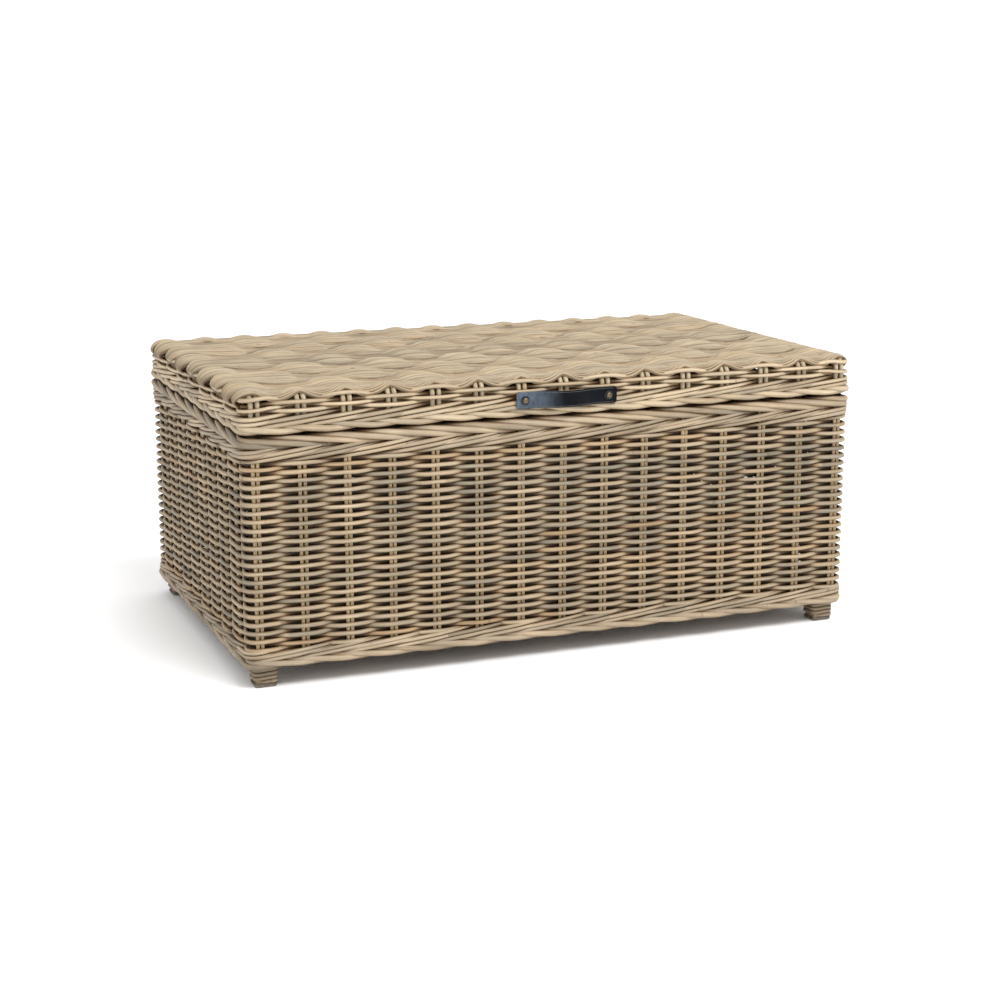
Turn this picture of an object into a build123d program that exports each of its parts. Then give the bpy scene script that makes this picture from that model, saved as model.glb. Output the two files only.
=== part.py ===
"""Wicker storage trunk: a woven cane box on a wooden frame, with a hinged woven lid.

Millimetres, +Z up. +X runs along the length, -Y is the front, where the handle is.
The origin is the bottom centre of the whole trunk, at the level of the floor.
"""

import os
from math import atan2, cos, hypot, radians

from build123d import *

# ---------------------------------------------------------------- driving dimensions
trunk_length = 1000
trunk_depth = 610
closed_height = 440

# Levels, from the floor up
glide_height = 5
foot_height = 27
bottom_border_height = 29
body_height = 374
top_border_height = 39
lid_gap = 1
lid_border_height = 28

# Woven walls: a border is a little thicker than the weave, and flush with it inside
weave_thickness = 16
weave_inset = 3
lid_top_thickness = 22
border_thickness = weave_thickness + weave_inset
corner_radius = 16

# Canes that the weave is worked round, set in pairs
stake_pitch = 68
front_stake_pairs = 15
side_stake_pairs = 8
stake_radius = 2.8
stake_spacing = 7
lid_stake_radius = 3.8
lid_stake_spacing = 11
lid_stake_bend = 12
cane_clearance = 0.05

# Wooden frame
post_size = 28
post_drop = 4
rail_thickness = 25
base_rail_height = 22
base_rail_lift = 3
rail_height = 25
top_rail_drop = 5
lid_rail_height = 24
lid_rail_lift = 14
bearer_width = 30
bearer_height = 24
bearer_pitch = 300
bearer_count = 3
base_thickness = 12
frame_edge = 1.5

# Feet
wrap_thickness = 5
wrap_corner_radius = 7
glide_size = 33
glide_corner_radius = 5
glide_edge = 1.5

# Leather handle
strap_length = 163
strap_width = 25
strap_thickness = 3
strap_corner_radius = 4
strap_bow = 12
handle_screw_pitch = 2 * stake_pitch
bow_half_length = 58
washer_radius = 7
washer_thickness = 1
handle_shank_radius = 2
handle_shank_length = 26
handle_head_radius = 4.2
handle_head_height = 3
handle_dome_radius = 2.25
recess_length = 4.4
recess_width = 1
recess_depth = 1.2

# Hinges, with a lug that stops the lid
hinge_count = 2
hinge_pitch = 600
hinge_width = 64
leaf_thickness = 2
leaf_length = 30
leaf_start = 4.5
leaf_corner_radius = 4
knuckle_radius = 4.5
knuckle_offset = 5
knuckle_share = 0.4
knuckle_gap = 0.4
pin_radius = 2.5
pin_clearance = 0.05
pin_head_radius = 3.6
pin_head_height = 1.5
lid_stop_angle = 100
lug_length = 9
lug_thickness = 2.5
lug_gap = 0.4
leaf_screw_pitch = 40
leaf_screw_radius = 1.5
leaf_screw_head_radius = 3
leaf_screw_length = 24
screw_clearance = 0.05

# ---------------------------------------------------------------- worked out from them
half_length = trunk_length / 2
half_depth = trunk_depth / 2
lid_base = body_height + lid_gap
hinge_axis_z = body_height + lid_gap / 2

# The lug's outer corner, as a distance and an angle from the hinge axis once the lid is open
lug_face = knuckle_offset - leaf_thickness - lug_gap
lug_reach = hypot(lug_length, lug_face)
lug_angle = atan2(-lug_length, -lug_face) + radians(lid_stop_angle)
handle_reach = strap_bow + strap_thickness
hinge_reach = knuckle_offset + lug_reach * cos(lug_angle)

# The handle stands proud in front and the hinges behind, so the walls shift to centre the whole
depth_shift = (handle_reach - hinge_reach) / 2
front_y = depth_shift - half_depth
back_y = depth_shift + half_depth
inner_x = half_length - border_thickness
inner_front_y = front_y + border_thickness
inner_back_y = back_y - border_thickness
inner_depth = inner_back_y - inner_front_y
weave_middle = weave_inset + weave_thickness / 2

weave_base = foot_height + bottom_border_height
weave_height = body_height - top_border_height - weave_base
top_border_base = body_height - top_border_height
lid_weave_base = lid_base + lid_border_height
lid_weave_height = closed_height - lid_weave_base
lid_top_base = closed_height - lid_top_thickness

base_rail_base = foot_height + base_rail_lift
base_panel_base = base_rail_base + base_rail_height
top_rail_base = body_height - rail_height - top_rail_drop
lid_rail_base = lid_base + lid_rail_lift
post_top = body_height - post_drop
handle_z = lid_rail_base + lid_rail_height / 2
hinge_axis_y = back_y + knuckle_offset
rail_length = 2 * (inner_x - post_size)
side_rail_length = inner_depth - 2 * post_size
side_stake_pitch = (trunk_depth - 2 * weave_middle) / (side_stake_pairs + 1)
hinge_centres = [(index - (hinge_count - 1) / 2) * hinge_pitch for index in range(hinge_count)]

post_places = {
    f"{depth_name}_{length_name}": (
        length_side * (inner_x - post_size / 2),
        depth_shift + depth_side * (inner_depth / 2 - post_size / 2),
    )
    for depth_name, depth_side in (("front", -1), ("back", 1))
    for length_name, length_side in (("left", -1), ("right", 1))
}


def pair_places(count, pitch, spacing):
    """Centres of canes set in evenly pitched pairs about zero."""
    middles = [(index - (count - 1) / 2) * pitch for index in range(count)]
    return [middle + side * spacing / 2 for middle in middles for side in (-1, 1)]


stake_xs = pair_places(front_stake_pairs, stake_pitch, stake_spacing)
stake_ys = [depth_shift + y for y in pair_places(side_stake_pairs, side_stake_pitch, stake_spacing)]
lid_stake_xs = pair_places(front_stake_pairs, stake_pitch, lid_stake_spacing)


def save(piece, label):
    """Name a finished piece and write it to its own file."""
    piece.part.label = label
    export_step(piece.part, f"parts/{label}.step")


# ---------------------------------------------------------------- woven walls and borders
def long_wall(depth_side, base, height, inset, hole_xs=()):
    """A front (-1) or back (+1) wall with rounded outer corners and upright cane holes."""
    outer_y = depth_shift + depth_side * (half_depth - inset)
    inner_y = depth_shift + depth_side * inner_depth / 2
    cane_y = depth_shift + depth_side * (half_depth - weave_middle)
    outer_group = 0 if depth_side < 0 else -1
    with BuildPart() as wall:
        with BuildSketch(Plane.XY.offset(base)) as outline:
            with Locations((0, (outer_y + inner_y) / 2)):
                Rectangle(trunk_length - 2 * inset, abs(outer_y - inner_y))
            fillet(outline.vertices().group_by(Axis.Y)[outer_group], corner_radius - inset)
            for x in hole_xs:
                with Locations((x, cane_y)):
                    Circle(stake_radius + cane_clearance, mode=Mode.SUBTRACT)
        extrude(amount=height)
    return wall


def short_wall(length_side, base, height, inset, hole_ys=()):
    """A left (-1) or right (+1) wall, fitted between the front and back walls."""
    outer_x = length_side * (half_length - inset)
    with BuildPart() as wall:
        with BuildSketch(Plane.XY.offset(base)):
            with Locations(((outer_x + length_side * inner_x) / 2, depth_shift)):
                Rectangle(abs(outer_x) - inner_x, inner_depth)
            for y in hole_ys:
                with Locations((length_side * (half_length - weave_middle), y)):
                    Circle(stake_radius + cane_clearance, mode=Mode.SUBTRACT)
        extrude(amount=height)
    return wall


def upright_stakes(places):
    """One side's upright canes, each a separate solid as tall as the weave."""
    with BuildPart() as stakes:
        with BuildSketch(Plane.XY.offset(weave_base)):
            with Locations(*places):
                Circle(stake_radius)
        extrude(amount=weave_height)
    return stakes


# ---------------------------------------------------------------- wooden frame
def block(centre, size):
    """A wooden bar from its centre in plan, its underside and its size, with eased edges."""
    x, y, base = centre
    with BuildPart() as bar:
        with BuildSketch(Plane.XY.offset(base)):
            with Locations((x, y)):
                Rectangle(size[0], size[1])
        extrude(amount=size[2])
        longest = (Axis.X, Axis.Y, Axis.Z)[size.index(max(size))]
        chamfer(bar.edges().filter_by(longest), frame_edge)
    return bar


def drill(bar, plane, places, radius, depth):
    """Cut pilot holes into a bar from a plane whose normal points out of it."""
    with bar:
        with BuildSketch(plane) as pilots:
            with Locations(*places):
                Circle(radius)
        extrude(pilots.sketch, amount=-depth, mode=Mode.SUBTRACT)


def rail_centres(base):
    """Plan centre and size direction of the four rails at one level."""
    half = rail_thickness / 2
    return {
        "front": ((0, inner_front_y + half, base), (rail_length, rail_thickness)),
        "back": ((0, inner_back_y - half, base), (rail_length, rail_thickness)),
        "left": ((half - inner_x, depth_shift, base), (rail_thickness, side_rail_length)),
        "right": ((inner_x - half, depth_shift, base), (rail_thickness, side_rail_length)),
    }


def bearers(base, height):
    """Bars from the front rail to the back rail, one solid each."""
    depth = inner_depth - 2 * rail_thickness
    with BuildPart() as bars:
        with BuildSketch(Plane.XY.offset(base)):
            with Locations((0, depth_shift)):
                with GridLocations(bearer_pitch, 1, bearer_count, 1):
                    Rectangle(bearer_width, depth)
        extrude(amount=height)
        chamfer(bars.edges().filter_by(Axis.Y), frame_edge)
    return bars


# Screw holes are drilled from the outer faces, whose planes have their normals outwards
front_plane = Plane(origin=(0, front_y, handle_z), x_dir=(1, 0, 0), z_dir=(0, -1, 0))
body_leaf_plane = Plane(
    origin=(0, back_y, hinge_axis_z - leaf_start - leaf_length / 2), x_dir=(-1, 0, 0), z_dir=(0, 1, 0)
)
lid_leaf_plane = Plane(
    origin=(0, back_y, hinge_axis_z + leaf_start + leaf_length / 2), x_dir=(-1, 0, 0), z_dir=(0, 1, 0)
)
handle_screw_places = [(side * handle_screw_pitch / 2, 0) for side in (-1, 1)]
leaf_screw_places = [
    (centre + side * leaf_screw_pitch / 2, 0) for centre in hinge_centres for side in (-1, 1)
]
leaf_hole_radius = leaf_screw_radius + screw_clearance
handle_hole_radius = handle_shank_radius + screw_clearance


# ---------------------------------------------------------------- feet
def foot_wrap(place):
    """The cane wound round the bottom of a post, as one sleeve with rounded corners."""
    with BuildPart() as wrap:
        with BuildSketch(Plane.XY.offset(glide_height)):
            with Locations(place):
                RectangleRounded(
                    post_size + 2 * wrap_thickness, post_size + 2 * wrap_thickness, wrap_corner_radius
                )
                Rectangle(post_size, post_size, mode=Mode.SUBTRACT)
        extrude(amount=foot_height - glide_height)
    return wrap


def foot_glides():
    """Four pads that the posts stand on."""
    with BuildPart() as glides:
        with BuildSketch():
            with Locations(*post_places.values()):
                RectangleRounded(glide_size, glide_size, glide_corner_radius)
        extrude(amount=glide_height)
        chamfer(glides.faces().filter_by(Axis.Z).group_by(Axis.Z)[0].edges(), glide_edge)
    return glides


# ---------------------------------------------------------------- body
def build_body():
    for name, side in (("front", -1), ("back", 1)):
        cane_y = depth_shift + side * (half_depth - weave_middle)
        save(long_wall(side, foot_height, bottom_border_height, 0), f"bottom_border_{name}")
        save(long_wall(side, weave_base, weave_height, weave_inset, stake_xs), f"body_weave_{name}")
        save(upright_stakes([(x, cane_y) for x in stake_xs]), f"body_stakes_{name}")
        top_border = long_wall(side, top_border_base, top_border_height, 0)
        if name == "back":
            drill(top_border, body_leaf_plane, leaf_screw_places, leaf_hole_radius, border_thickness)
        save(top_border, f"top_border_{name}")
    for name, side in (("left", -1), ("right", 1)):
        cane_x = side * (half_length - weave_middle)
        save(short_wall(side, foot_height, bottom_border_height, 0), f"bottom_border_{name}")
        save(short_wall(side, weave_base, weave_height, weave_inset, stake_ys), f"body_weave_{name}")
        save(upright_stakes([(cane_x, y) for y in stake_ys]), f"body_stakes_{name}")
        save(short_wall(side, top_border_base, top_border_height, 0), f"top_border_{name}")

    for name, place in post_places.items():
        post_height = post_top - glide_height
        save(block((*place, glide_height), (post_size, post_size, post_height)), f"corner_post_{name}")
        save(foot_wrap(place), f"foot_wrap_{name}")
    save(foot_glides(), "foot_glides")

    for name, (centre, size) in rail_centres(base_rail_base).items():
        save(block(centre, (*size, base_rail_height)), f"base_rail_{name}")
    for name, (centre, size) in rail_centres(top_rail_base).items():
        rail = block(centre, (*size, rail_height))
        if name == "back":
            drill(rail, body_leaf_plane, leaf_screw_places, leaf_hole_radius, leaf_screw_length)
        save(rail, f"top_rail_{name}")
    save(bearers(base_rail_base, base_rail_height), "base_bearers")
    save(base_panel(), "base_weave")


def base_panel():
    """The woven bottom, which lies on the base rails and is notched round the posts."""
    with BuildPart() as panel:
        with BuildSketch(Plane.XY.offset(base_panel_base)):
            with Locations((0, depth_shift)):
                Rectangle(2 * inner_x, inner_depth)
            with Locations(*post_places.values()):
                Rectangle(post_size, post_size, mode=Mode.SUBTRACT)
        extrude(amount=base_thickness)
    return panel


# ---------------------------------------------------------------- lid
def sweep_lid_stakes(radius, mode=Mode.ADD):
    """Sweep every lid cane up the front, over the top and down the back."""
    cane_y = half_depth - weave_middle
    cane_z = closed_height - lid_top_thickness / 2
    with BuildLine() as route:
        FilletPolyline(
            (0, depth_shift - cane_y, lid_weave_base),
            (0, depth_shift - cane_y, cane_z),
            (0, depth_shift + cane_y, cane_z),
            (0, depth_shift + cane_y, lid_weave_base),
            radius=lid_stake_bend,
        )
    with BuildSketch(Plane.XY.offset(lid_weave_base)) as section:
        with Locations(*[(x, depth_shift - cane_y) for x in lid_stake_xs]):
            Circle(radius)
    sweep(section.sketch, path=route.line, mode=mode)


def lid_stakes():
    with BuildPart() as stakes:
        sweep_lid_stakes(lid_stake_radius)
    return stakes


def lid_top():
    """The woven top, between the lid's four woven sides."""
    with BuildPart() as top:
        with BuildSketch(Plane.XY.offset(lid_top_base)):
            with Locations((0, depth_shift)):
                Rectangle(2 * inner_x, inner_depth)
        extrude(amount=lid_top_thickness)
        sweep_lid_stakes(lid_stake_radius + cane_clearance, Mode.SUBTRACT)
    return top


def lid_side(name, side):
    """One woven side of the lid, rounded along its top outer edge."""
    if name in ("front", "back"):
        wall = long_wall(side, lid_weave_base, lid_weave_height, weave_inset)
        outer = wall.edges().filter_by(Axis.X).group_by(Axis.Z)[-1].sort_by(Axis.Y)[0 if side < 0 else -1]
    else:
        wall = short_wall(side, lid_weave_base, lid_weave_height, weave_inset)
        outer = wall.edges().filter_by(Axis.Y).group_by(Axis.Z)[-1].sort_by(Axis.X)[0 if side < 0 else -1]
    with wall:
        fillet(outer, lid_stake_bend)
        sweep_lid_stakes(lid_stake_radius + cane_clearance, Mode.SUBTRACT)
    return wall


def build_lid():
    for name, side in (("front", -1), ("back", 1), ("left", -1), ("right", 1)):
        wall = long_wall if name in ("front", "back") else short_wall
        border = wall(side, lid_base, lid_border_height, 0)
        if name == "front":
            drill(border, front_plane, handle_screw_places, handle_hole_radius, border_thickness)
        if name == "back":
            drill(border, lid_leaf_plane, leaf_screw_places, leaf_hole_radius, border_thickness)
        save(border, f"lid_border_{name}")
        save(lid_side(name, side), f"lid_weave_{name}")
    for name, (centre, size) in rail_centres(lid_rail_base).items():
        rail = block(centre, (*lid_rail_size(name, size), lid_rail_height))
        if name == "front":
            drill(rail, front_plane, handle_screw_places, handle_hole_radius, handle_shank_length)
        if name == "back":
            drill(rail, lid_leaf_plane, leaf_screw_places, leaf_hole_radius, leaf_screw_length)
        save(rail, f"lid_rail_{name}")
    save(bearers(lid_top_base - bearer_height, bearer_height), "lid_bearers")
    save(lid_stakes(), "lid_stakes")
    save(lid_top(), "lid_weave_top")


def lid_rail_size(name, size):
    """The lid has no posts, so its long rails reach the corners and its short ones fit between."""
    if name in ("front", "back"):
        return 2 * inner_x, size[1]
    return size[0], inner_depth - 2 * rail_thickness


# ---------------------------------------------------------------- handle
def handle_strap():
    """A leather strap, flat under its screws and bowed out between them."""
    strap_plane = Plane(origin=(0, front_y, handle_z - strap_width / 2))
    with BuildPart() as strap:
        with BuildSketch(strap_plane) as profile:
            with BuildLine():
                quarter = (-bow_half_length / 2, -strap_bow / 2)
                Line((-strap_length / 2, 0), (-bow_half_length, 0))
                TangentArc((-bow_half_length, 0), quarter, tangent=(1, 0))
                TangentArc((0, -strap_bow), quarter, tangent=(-1, 0))
                Line((-strap_length / 2, 0), (-strap_length / 2, -strap_thickness))
                Line((-strap_length / 2, -strap_thickness), (-bow_half_length, -strap_thickness))
                outer_quarter = (quarter[0], quarter[1] - strap_thickness)
                TangentArc((-bow_half_length, -strap_thickness), outer_quarter, tangent=(1, 0))
                TangentArc((0, -handle_reach), outer_quarter, tangent=(-1, 0))
                Line((0, -strap_bow), (0, -handle_reach))
            make_face()
            mirror(about=Plane.YZ)
        extrude(amount=strap_width)
        fillet(strap.edges().filter_by(Axis.Y), strap_corner_radius)
        with BuildSketch(front_plane) as holes:
            with Locations(*handle_screw_places):
                Circle(handle_hole_radius)
        extrude(holes.sketch, amount=handle_reach, mode=Mode.SUBTRACT)
    return strap


def handle_washers():
    with BuildPart() as washers:
        with BuildSketch(front_plane.offset(strap_thickness)):
            with Locations(*handle_screw_places):
                Circle(washer_radius)
                Circle(handle_hole_radius, mode=Mode.SUBTRACT)
        extrude(amount=washer_thickness)
    return washers


def handle_screws():
    """Two domed screws with a cross recess, through the strap into the lid's front rail."""
    head_base = strap_thickness + washer_thickness
    shank_end = handle_shank_length - border_thickness / 2
    with BuildPart() as screws:
        with BuildSketch(front_plane.offset(head_base)):
            with Locations(*handle_screw_places):
                Circle(handle_head_radius)
        extrude(amount=handle_head_height)
        domes = screws.faces().filter_by(Axis.Y).group_by(Axis.Y)[0].edges()
        fillet(domes, handle_dome_radius)
        with BuildSketch(front_plane.offset(head_base)):
            with Locations(*handle_screw_places):
                Circle(handle_shank_radius)
        extrude(amount=-(head_base + shank_end))
        with BuildSketch(front_plane.offset(head_base + handle_head_height)):
            with Locations(*handle_screw_places):
                Rectangle(recess_length, recess_width)
                Rectangle(recess_width, recess_length)
        extrude(amount=-recess_depth, mode=Mode.SUBTRACT)
    return screws


# ---------------------------------------------------------------- hinges
def knuckle_spans(centre, is_lid):
    """Where along X the leaf's knuckles lie: the middle on the lid, both ends on the body."""
    middle = hinge_width * knuckle_share
    if is_lid:
        return [(centre - middle / 2, middle)]
    end = (hinge_width - middle) / 2 - knuckle_gap
    return [(centre - hinge_width / 2, end), (centre + hinge_width / 2 - end, end)]


def hinge_leaf(centre, is_lid):
    """A leaf flat on the back, its knuckles and its countersunk holes."""
    plane = lid_leaf_plane if is_lid else body_leaf_plane
    spans = knuckle_spans(centre, is_lid)
    with BuildPart() as leaf:
        with BuildSketch(plane):
            with Locations((-centre, 0)):
                RectangleRounded(hinge_width, leaf_length, leaf_corner_radius)
        extrude(amount=leaf_thickness)
        for start, width in spans:
            with BuildSketch(Plane.YZ.offset(start)) as knuckle:
                with Locations((hinge_axis_y, hinge_axis_z)):
                    Circle(knuckle_radius)
                with Locations((back_y + leaf_thickness / 2, hinge_axis_z)):
                    Rectangle(
                        leaf_thickness,
                        leaf_start + leaf_corner_radius,
                        align=(Align.CENTER, Align.MIN if is_lid else Align.MAX),
                    )
            extrude(knuckle.sketch, amount=width)
        if is_lid:
            stop_lug(spans[0])
        for start, width in spans:
            with BuildSketch(Plane.YZ.offset(start)) as bore:
                with Locations((hinge_axis_y, hinge_axis_z)):
                    Circle(pin_radius + pin_clearance)
            extrude(bore.sketch, amount=width, mode=Mode.SUBTRACT)
        for side in (-1, 1):
            with Locations(plane.offset(leaf_thickness).location * Pos(-centre + side * leaf_screw_pitch / 2)):
                CounterSinkHole(leaf_hole_radius, leaf_screw_head_radius)
    return leaf


def stop_lug(span):
    """The lug on the lid's knuckle. It meets the body's leaf when the lid is fully open."""
    start, width = span
    with BuildSketch(Plane.YZ.offset(start)) as lug:
        with Locations(Location((hinge_axis_y, hinge_axis_z), lid_stop_angle)):
            with Locations((-lug_face + lug_thickness / 2, -(lug_length + pin_radius) / 2)):
                Rectangle(lug_thickness, lug_length - pin_radius)
    extrude(lug.sketch, amount=width)


def hinge_pins():
    """One pin for each hinge, with a thin head at both ends."""
    with BuildPart() as pins:
        for centre in hinge_centres:
            start = centre - hinge_width / 2
            for base, radius, length in (
                (start, pin_radius, hinge_width),
                (start - pin_head_height, pin_head_radius, pin_head_height),
                (start + hinge_width, pin_head_radius, pin_head_height),
            ):
                with BuildSketch(Plane.YZ.offset(base)) as section:
                    with Locations((hinge_axis_y, hinge_axis_z)):
                        Circle(radius)
                extrude(section.sketch, amount=length)
    return pins


def leaf_screws(plane):
    """Countersunk screws through one leaf of each hinge, border and rail."""
    sink = leaf_screw_head_radius - leaf_screw_radius
    with BuildPart() as screws:
        for place in leaf_screw_places:
            with Locations(plane.offset(leaf_thickness).location * Pos(*place)):
                Cone(
                    leaf_screw_radius,
                    leaf_screw_head_radius - screw_clearance,
                    sink,
                    align=(Align.CENTER, Align.CENTER, Align.MAX),
                )
                Cylinder(
                    leaf_screw_radius, leaf_screw_length, align=(Align.CENTER, Align.CENTER, Align.MAX)
                )
    return screws


def build_fittings():
    save(handle_strap(), "handle_strap")
    save(handle_washers(), "handle_washers")
    save(handle_screws(), "handle_screws")
    for name, centre in zip(("left", "right"), hinge_centres):
        save(hinge_leaf(centre, False), f"hinge_body_leaf_{name}")
        save(hinge_leaf(centre, True), f"hinge_lid_leaf_{name}")
    save(hinge_pins(), "hinge_pins")
    save(leaf_screws(body_leaf_plane), "hinge_body_screws")
    save(leaf_screws(lid_leaf_plane), "hinge_lid_screws")


os.makedirs("parts", exist_ok=True)
build_body()
build_lid()
build_fittings()
print(f"front face y {front_y:.3f}, back face y {back_y:.3f}")
print(f"hinge axis y {hinge_axis_y:.3f}, z {hinge_axis_z:.3f}, handle z {handle_z:.1f}")
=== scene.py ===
"""Wicker storage trunk: the looks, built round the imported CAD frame.

Metres, +Z up, in the CAD's own frame: +X along the length, -Y the front, +Y the hinges.
Woven walls, borders and wraps are round canes, each swept along its own path. Plan paths
follow a closed Loop, where s runs along it and an offset runs outwards from it.
"""

import math

import bpy
import numpy as np
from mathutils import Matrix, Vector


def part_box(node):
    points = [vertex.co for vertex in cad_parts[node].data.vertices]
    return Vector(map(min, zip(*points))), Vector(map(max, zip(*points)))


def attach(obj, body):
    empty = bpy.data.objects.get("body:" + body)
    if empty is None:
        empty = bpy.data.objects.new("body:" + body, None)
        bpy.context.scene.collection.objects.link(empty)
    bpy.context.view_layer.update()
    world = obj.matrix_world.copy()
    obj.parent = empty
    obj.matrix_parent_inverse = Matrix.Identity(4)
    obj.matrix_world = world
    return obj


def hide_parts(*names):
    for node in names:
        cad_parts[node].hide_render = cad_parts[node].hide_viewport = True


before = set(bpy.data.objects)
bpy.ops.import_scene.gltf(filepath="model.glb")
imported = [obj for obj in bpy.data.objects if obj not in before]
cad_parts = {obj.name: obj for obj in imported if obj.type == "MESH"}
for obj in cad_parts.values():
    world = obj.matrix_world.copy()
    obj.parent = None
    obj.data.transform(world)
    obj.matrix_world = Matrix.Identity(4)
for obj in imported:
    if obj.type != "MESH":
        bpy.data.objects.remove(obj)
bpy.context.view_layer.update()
rng = np.random.default_rng(7)
MM = 0.001

# ---------------------------------------------------------------- sizes taken from the frame
bottom_low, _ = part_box("bottom_border_front")
_, back_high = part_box("bottom_border_back")
top_low, top_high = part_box("top_border_front")
weave_low, weave_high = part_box("body_weave_front")
stakes_low, stakes_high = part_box("body_stakes_front")
side_stakes_low, side_stakes_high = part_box("body_stakes_left")
base_low, base_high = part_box("base_weave")
lid_border_low, lid_border_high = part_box("lid_border_front")
lid_top_low, lid_top_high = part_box("lid_weave_top")
strap_low, strap_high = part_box("handle_strap")

half_length = top_high.x
front_y = top_low.y
back_y = back_high.y
middle_y = (front_y + back_y) / 2
half_depth = (back_y - front_y) / 2
cane_inset = (weave_low.y + weave_high.y) / 2 - front_y

# ---------------------------------------------------------------- sizes of the weave
WALLS = ("front", "right", "back", "left")
FRONT_PAIRS = 15
SIDE_PAIRS = 8
STAKE_RADIUS = (stakes_high.y - stakes_low.y) / 2
STAKE_SPACING = 7 * MM
STAKE_INSET = 8 * MM
STAKE_SAMPLES = 14
WEAVER_RADIUS = 3.5 * MM
ROW_COUNT = 44
ROWS_PER_PIECE = 11
WEAVE_SWING = 5.4 * MM
WEAVE_SQUEEZE = 0.6
SPAN_STEPS = np.arange(14) / 14
LOOP_RADIUS = 12 * MM

LID_STAKE_RADIUS = 3.8 * MM
LID_STAKE_FLAT_RADIUS = 2.0 * MM
LID_STAKE_BEND_RADIUS = 4.4 * MM
LID_STAKE_SPACING = 9.6 * MM
LID_STAKE_SINK = 3.0 * MM
LID_BEND = 12 * MM
LID_ROW_RADIUS = 3.0 * MM
LID_ROW_DROPS = (10.4 * MM, 16.6 * MM, 22.4 * MM, 28.2 * MM)
LID_ROW_SWING = 6.4 * MM
LID_END_ROW_DROPS = (6.5 * MM, 16.5 * MM, 21.5 * MM, 26.5 * MM)
LID_END_ROW_SWING = 4.7 * MM
LID_END_ROW_SHIFT = 2.0 * MM

# The lid's top: bundles that swell over a stake pair and dive under the next
BUNDLE_COUNT = 7
BUNDLE_STRANDS = 10
TOP_SAMPLES = 12
TOP_STRAND_RADIUS = 3.9 * MM
TOP_RISE = 4.6 * MM
TOP_DIP = 1.4 * MM
FILLER_DROP = 0.7 * MM
FILLER_FLAT_DROP = 1.6 * MM
BUNDLE_SWELL = 0.3
BUNDLE_RIM = 0.12
OUTER_RIM = 0.95

# The groups along the lid's two long edges, always on top
EDGE_STRANDS = 8
EDGE_STRAND_RADIUS = 2.7 * MM
EDGE_WIDTH = 27 * MM
EDGE_DROP = 10.0 * MM
EDGE_GIVE = 7 * MM
EDGE_LEAN = 3.0 * MM
EDGE_LEVEL = 3.4 * MM
EDGE_BEAT = 2.6 * MM
EDGE_FILLERS = 4
EDGE_FILLER_STEP = 8 * MM
EDGE_FILLER_LEVEL = 1.2 * MM
ARCH_SWING = 5.0 * MM

BOTTOM_BORDER_LIFT = 3 * MM
BASE_CANE_RADIUS = 2.9 * MM
POST_CLEARANCE = 30 * MM
FOOT_CANE_RADIUS = 3.2 * MM
FOOT_CORNER = 5 * MM

STRAP_THICKNESS = 3 * MM
STRAP_BOW_HALF = 58 * MM
STRAP_CORNER = 4 * MM
STRAP_EASE = 0.9 * MM
STITCH_PITCH = 4.2 * MM
STITCH_LENGTH = 3.0 * MM
STITCH_INSET = 2.2 * MM
THREAD_RADIUS = 0.42 * MM

pair_width = STAKE_SPACING + 2 * STAKE_RADIUS
stake_pitch = (stakes_high.x - stakes_low.x - pair_width) / (FRONT_PAIRS - 1)
side_pitch = (side_stakes_high.y - side_stakes_low.y - pair_width) / (SIDE_PAIRS - 1)


def spaced(count, pitch, middle=0.0):
    """Evenly spaced places about a middle."""
    return [middle + (index - (count - 1) / 2) * pitch for index in range(count)]


front_xs = spaced(FRONT_PAIRS, stake_pitch)
side_ys = spaced(SIDE_PAIRS, side_pitch, middle_y)


# ---------------------------------------------------------------- paths
class Loop:
    """A closed rounded rectangle in plan, run anticlockwise from the left end of its front."""

    def __init__(self, half_x, half_y, centre, radius):
        self.half_x, self.half_y, self.radius = half_x, half_y, radius
        self.centre = centre
        self.sides = [2 * (half_x - radius), 2 * (half_y - radius)] * 2
        self.arc = math.pi / 2 * radius
        self.length = sum(self.sides) + 4 * self.arc

    def at(self, s):
        """Points and outward normals in plan at each s."""
        s = np.mod(np.asarray(s, float), self.length)
        points = np.zeros((len(s), 2))
        normals = np.zeros((len(s), 2))
        begin = 0.0
        start = np.array([self.centre[0] - self.half_x + self.radius, self.centre[1] - self.half_y])
        for index, side in enumerate(self.sides):
            turn = index * math.pi / 2
            along = np.array([math.cos(turn), math.sin(turn)])
            out = np.array([math.sin(turn), -math.cos(turn)])
            here = (s >= begin) & (s < begin + side)
            points[here] = start + np.outer(s[here] - begin, along)
            normals[here] = out
            begin += side
            pivot = start + side * along - self.radius * out
            here = (s >= begin) & (s < begin + self.arc + 1e-9)
            angle = turn + (s[here] - begin) / self.radius
            normals[here] = np.stack([np.sin(angle), -np.cos(angle)], 1)
            points[here] = pivot + self.radius * normals[here]
            begin += self.arc
            turned = turn + math.pi / 2
            start = pivot + self.radius * np.array([math.sin(turned), -math.cos(turned)])
        return points, normals

    def path(self, s, offset, z):
        """3-D points at s, moved outwards by offset, at height z."""
        points, normals = self.at(s)
        flat = points + normals * np.asarray(offset).reshape(-1, 1)
        return np.column_stack([flat, np.broadcast_to(z, len(flat))])

    def stations(self, xs, ys):
        """s of each stake pair: along the front, up the right, back along the back, down the left."""
        front = [x - self.centre[0] + self.half_x - self.radius for x in xs]
        side = [y - self.centre[1] + self.half_y - self.radius for y in ys]
        right_start = self.sides[0] + self.arc
        back_start = right_start + self.sides[1] + self.arc
        left_start = back_start + self.sides[2] + self.arc
        return np.array(
            front
            + [right_start + s for s in side]
            + [back_start + s for s in front]
            + [left_start + s for s in side]
        )


def wall_loop(inset):
    """The rounded outline of the trunk, moved in by inset."""
    return Loop(half_length - inset, half_depth - inset, (0.0, middle_y), LOOP_RADIUS)


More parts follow.
